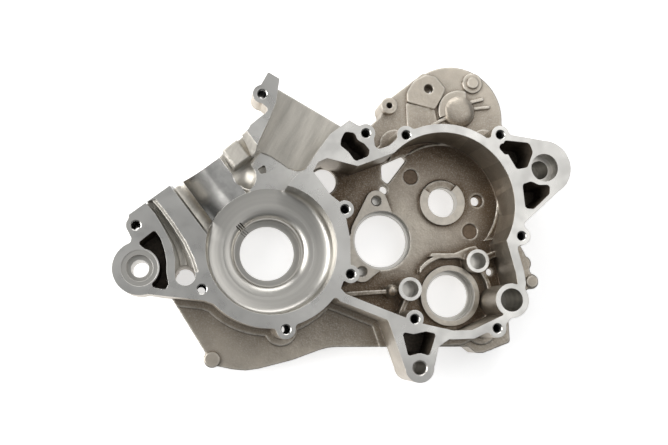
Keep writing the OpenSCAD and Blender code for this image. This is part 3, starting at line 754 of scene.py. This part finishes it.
def add_pads(work, profile, low, high):
    """A profile of (side, depth) points, drawn out along the cylinder axis from low to high"""
    ends = [
        [work.verts.new(
            CYLINDER_OUT * out + CYLINDER_SIDE * side + Vector((0, 0, JOINT_Z - depth)))
         for side, depth in profile]
        for out in (low, high)]
    work.faces.new(ends[0])
    work.faces.new(list(reversed(ends[1])))
    for k in range(len(profile)):
        j = (k + 1) % len(profile)
        work.faces.new((ends[0][k], ends[1][k], ends[1][j], ends[0][j]))


def small_forms():
    """Mesh in metres of the small cast and turned forms that are joined to the casting"""
    work = bmesh.new()
    add_dish(work)
    band = [
        Vector((BAND_CENTRE[0] + BAND_R * math.cos(math.radians(a)),
                BAND_CENTRE[1] + BAND_R * math.sin(math.radians(a)), JOINT_Z - BAND_DEPTH))
        for a in BAND_TURNS]
    add_bead(work, band, BAND_BEAD_R)
    for share in RIDGE_SHARES:
        ridge = [
            Vector((a[0] + (b[0] - a[0]) * share, a[1] + (b[1] - a[1]) * share,
                    JOINT_Z - RIDGE_DEPTH))
            for a, b in CHANNEL_SIDES]
        add_bead(work, smooth_path(ridge), RIDGE_R)
    add_pads(work, PAD_PROFILE, PAD_START, PAD_END)
    bmesh.ops.recalc_face_normals(work, faces=work.faces)
    mesh = bpy.data.meshes.new("small_forms")
    work.to_mesh(mesh)
    work.free()
    mesh.transform(Matrix.Scale(1 / TO_MM, 4))
    return mesh


def welded_copy(source):
    """Copy of the casting's mesh with its seams joined"""
    mesh = bpy.data.meshes.new("casting")
    faces = [tuple(face.vertices) for face in source.polygons]
    mesh.from_pydata([vertex.co for vertex in source.vertices], [], faces)
    work = bmesh.new()
    work.from_mesh(mesh)
    bmesh.ops.remove_doubles(work, verts=work.verts, dist=WELD)
    loose = [edge for edge in work.edges if not edge.link_faces]
    bmesh.ops.delete(work, geom=loose, context="EDGES")
    work.to_mesh(mesh)
    work.free()
    return mesh


def joined(context, mesh, extra):
    """The casting's mesh with the extra forms merged into it as one closed skin"""
    base = bpy.data.objects.new("base", mesh)
    tool = bpy.data.objects.new("tool", extra)
    for piece in (base, tool):
        context.scene.collection.objects.link(piece)
    union = base.modifiers.new("union", "BOOLEAN")
    union.operation, union.solver, union.object = "UNION", "EXACT", tool
    context.view_layer.update()
    depsgraph = context.evaluated_depsgraph_get()
    result = bpy.data.meshes.new_from_object(base.evaluated_get(depsgraph))
    for piece in (base, tool):
        bpy.data.objects.remove(piece)
    if not result.polygons or len(result.polygons) < len(mesh.polygons) // 2:
        raise RuntimeError("the small forms couldn't be joined to the casting")
    return result


def sort_faces(mesh):
    """Gives every face of a closed mesh the material slot of its finish"""
    work = bmesh.new()
    work.from_mesh(mesh)
    work.normal_update()
    if any(len(edge.link_faces) != 2 for edge in work.edges):
        raise RuntimeError("the joined casting isn't closed")
    for face in work.faces:
        face.material_index = SLOTS[finish_of(face.calc_center_median() * TO_MM, face.normal)]
        face.smooth = True
    work.to_mesh(mesh)
    work.free()


class CRANKCASE_OT_dress(bpy.types.Operator):
    """Copies the casting, joins its seams and gives every face its finish"""

    bl_idname = "crankcase.dress"
    bl_label = "Dress the casting"

    def execute(self, context):
        look = context.scene.casting_look
        source = bpy.data.objects.get(NODE)
        if source is None:
            raise RuntimeError("the casting isn't loaded")
        mesh = welded_copy(source.data)
        for maker in FINISHES.values():
            mesh.materials.append(maker(look))
        mesh = joined(context, mesh, small_forms())
        mesh.name = "casting"
        sort_faces(mesh)
        mesh.set_sharp_from_angle(angle=look.smooth_angle)
        casting = bpy.data.objects.new("casting", mesh)
        context.scene.collection.objects.link(casting)
        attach(casting, "root")
        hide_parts(NODE)
        return {"FINISHED"}


class CRANKCASE_OT_stage(bpy.types.Operator):
    """Builds the floor, the lamps, the room light and the camera"""

    bl_idname = "crankcase.stage"
    bl_label = "Build the stage"

    def execute(self, context):
        look = context.scene.stage_look
        context.scene.view_settings.view_transform = "Standard"
        self.floor(context, look)
        for name, power, place, aim, width, depth in LAMPS:
            self.lamp(context, name, getattr(look, power), place, aim, width, depth)
        self.room(context, look)
        self.camera(context, look)
        return {"FINISHED"}

    def floor(self, context, look):
        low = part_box(NODE)[0].z
        mesh = bpy.data.meshes.new("floor")
        corners = [(x * FLOOR_HALF, y * FLOOR_HALF, low) for x, y in ((-1, -1), (1, -1), (1, 1), (-1, 1))]
        mesh.from_pydata(corners, [], [(0, 1, 2, 3)])
        floor = bpy.data.objects.new("floor", mesh)
        context.scene.collection.objects.link(floor)
        mesh.materials.append(floor_material(look))

    def lamp(self, context, name, power, place, aim, width, depth):
        data = bpy.data.lights.new(name, "AREA")
        data.shape = "RECTANGLE"
        data.size, data.size_y, data.energy = width, depth, power
        lamp = bpy.data.objects.new(name, data)
        lamp.location = place
        lamp.rotation_euler = (Vector(aim) - Vector(place)).to_track_quat("-Z", "Y").to_euler()
        context.scene.collection.objects.link(lamp)

    def room(self, context, look):
        world = bpy.data.worlds.new("room")
        world.use_nodes = True
        tree = world.node_tree
        background = tree.nodes["Background"]
        background.inputs[0].default_value = ROOM_TINT
        place = tree.nodes.new("ShaderNodeTexCoord")
        split = tree.nodes.new("ShaderNodeSeparateXYZ")
        levels = tree.nodes.new("ShaderNodeValToRGB")
        tree.links.new(place.outputs["Generated"], split.inputs[0])
        tree.links.new(split.outputs[2], levels.inputs[0])
        tree.links.new(levels.outputs[0], background.inputs[1])
        heights = (
            (0.0, HORIZON), (0.12, HORIZON), (0.25, look.room_low), (0.72, look.room_low),
            (0.95, look.room))
        ramp = levels.color_ramp
        for index, (height, level) in enumerate(heights):
            step = ramp.elements[index] if index < 2 else ramp.elements.new(height)
            step.position = height
            step.color = (level, level, level, 1)
        context.scene.world = world

    def camera(self, context, look):
        data = bpy.data.cameras.new("camera")
        data.sensor_width = SENSOR_WIDTH
        data.lens = look.lens
        data.clip_start = 0.01
        camera = bpy.data.objects.new("camera", data)
        down = Vector(CAMERA_DOWN).normalized()
        right = (Vector((1, 0, 0)) - down.x * down).normalized()
        back = (-down).cross(right)
        axes = Matrix((right, back, -down))
        turn = Matrix((axes.col[0], -axes.col[1], -axes.col[2])).transposed()
        camera.matrix_world = Matrix.Translation(look.eye) @ turn.to_4x4()
        context.scene.collection.objects.link(camera)
        context.scene.camera = camera


class CRANKCASE_PT_panel(bpy.types.Panel):
    """Sizes and colours of the casting and its stage"""

    bl_label = "Crankcase"
    bl_idname = "CRANKCASE_PT_panel"
    bl_space_type = "VIEW_3D"
    bl_region_type = "UI"
    bl_category = "Crankcase"

    def draw(self, context):
        for group in (context.scene.casting_look, context.scene.stage_look):
            column = self.layout.column()
            for name in group.__annotations__:
                column.prop(group, name)
        self.layout.operator("crankcase.dress")
        self.layout.operator("crankcase.stage")


CLASSES = (CastingLook, StageLook, CRANKCASE_OT_dress, CRANKCASE_OT_stage, CRANKCASE_PT_panel)


def register():
    for cls in CLASSES:
        bpy.utils.register_class(cls)
    bpy.types.Scene.casting_look = bpy.props.PointerProperty(type=CastingLook)
    bpy.types.Scene.stage_look = bpy.props.PointerProperty(type=StageLook)


def unregister():
    del bpy.types.Scene.stage_look
    del bpy.types.Scene.casting_look
    for cls in reversed(CLASSES):
        bpy.utils.unregister_class(cls)


def main():
    register()
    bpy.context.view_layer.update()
    bpy.ops.crankcase.dress()
    bpy.ops.crankcase.stage()


if __name__ == "__main__":
    main()
